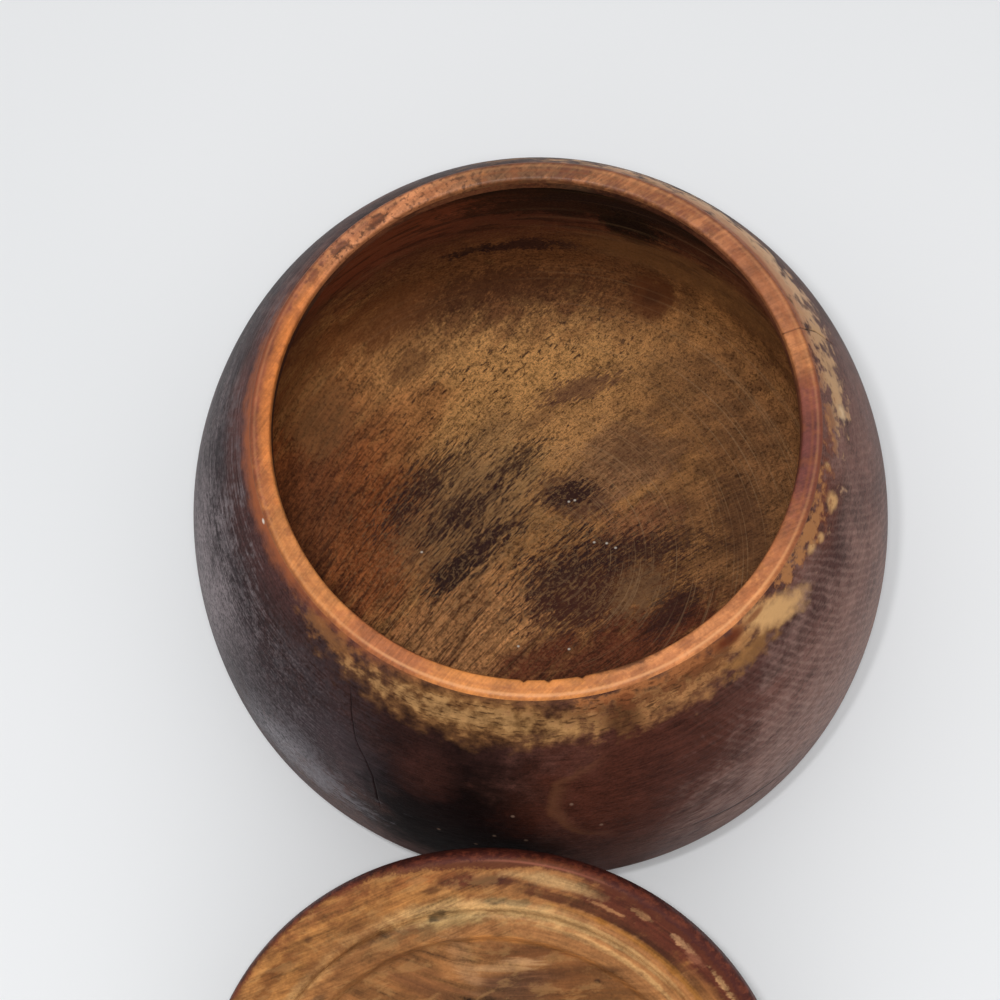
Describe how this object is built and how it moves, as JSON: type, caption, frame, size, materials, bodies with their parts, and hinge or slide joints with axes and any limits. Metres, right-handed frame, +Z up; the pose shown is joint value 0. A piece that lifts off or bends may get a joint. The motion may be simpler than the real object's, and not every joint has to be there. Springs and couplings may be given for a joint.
{
  "type": "lidded wooden bowl",
  "caption": "Round turned wooden bowl with a closed shape and a wide mouth; its loose knobbed lid drops in by a ring and lies upside down beside it.",
  "frame": {"origin": "centre of the bowl's flat foot, on the surface that the bowl stands on", "axes": "+Z up along the bowl's turning axis, towards the mouth; -Y towards the lid that lies in front"},
  "size_m": [0.1678, 0.2699, 0.11],
  "materials": {
    "bowl_wood": "oiled dark brown wood with paler sapwood patches, golden brown inside",
    "lid_wood": "oiled golden brown wood, darker red-brown towards the edge and on top",
    "knob_wood": "oiled dark brown wood"
  },
  "bodies": {
    "bowl": {"bowl": "bowl_wood"},
    "lid": {"lid": "lid_wood", "lid_knob": "knob_wood"}
  },
  "joints": [
    {"name": "lid_lift", "type": "slide", "parent": "bowl", "child": "lid", "axis": [0, 0, 1], "range_m": [0, 0.13]}
  ]
}
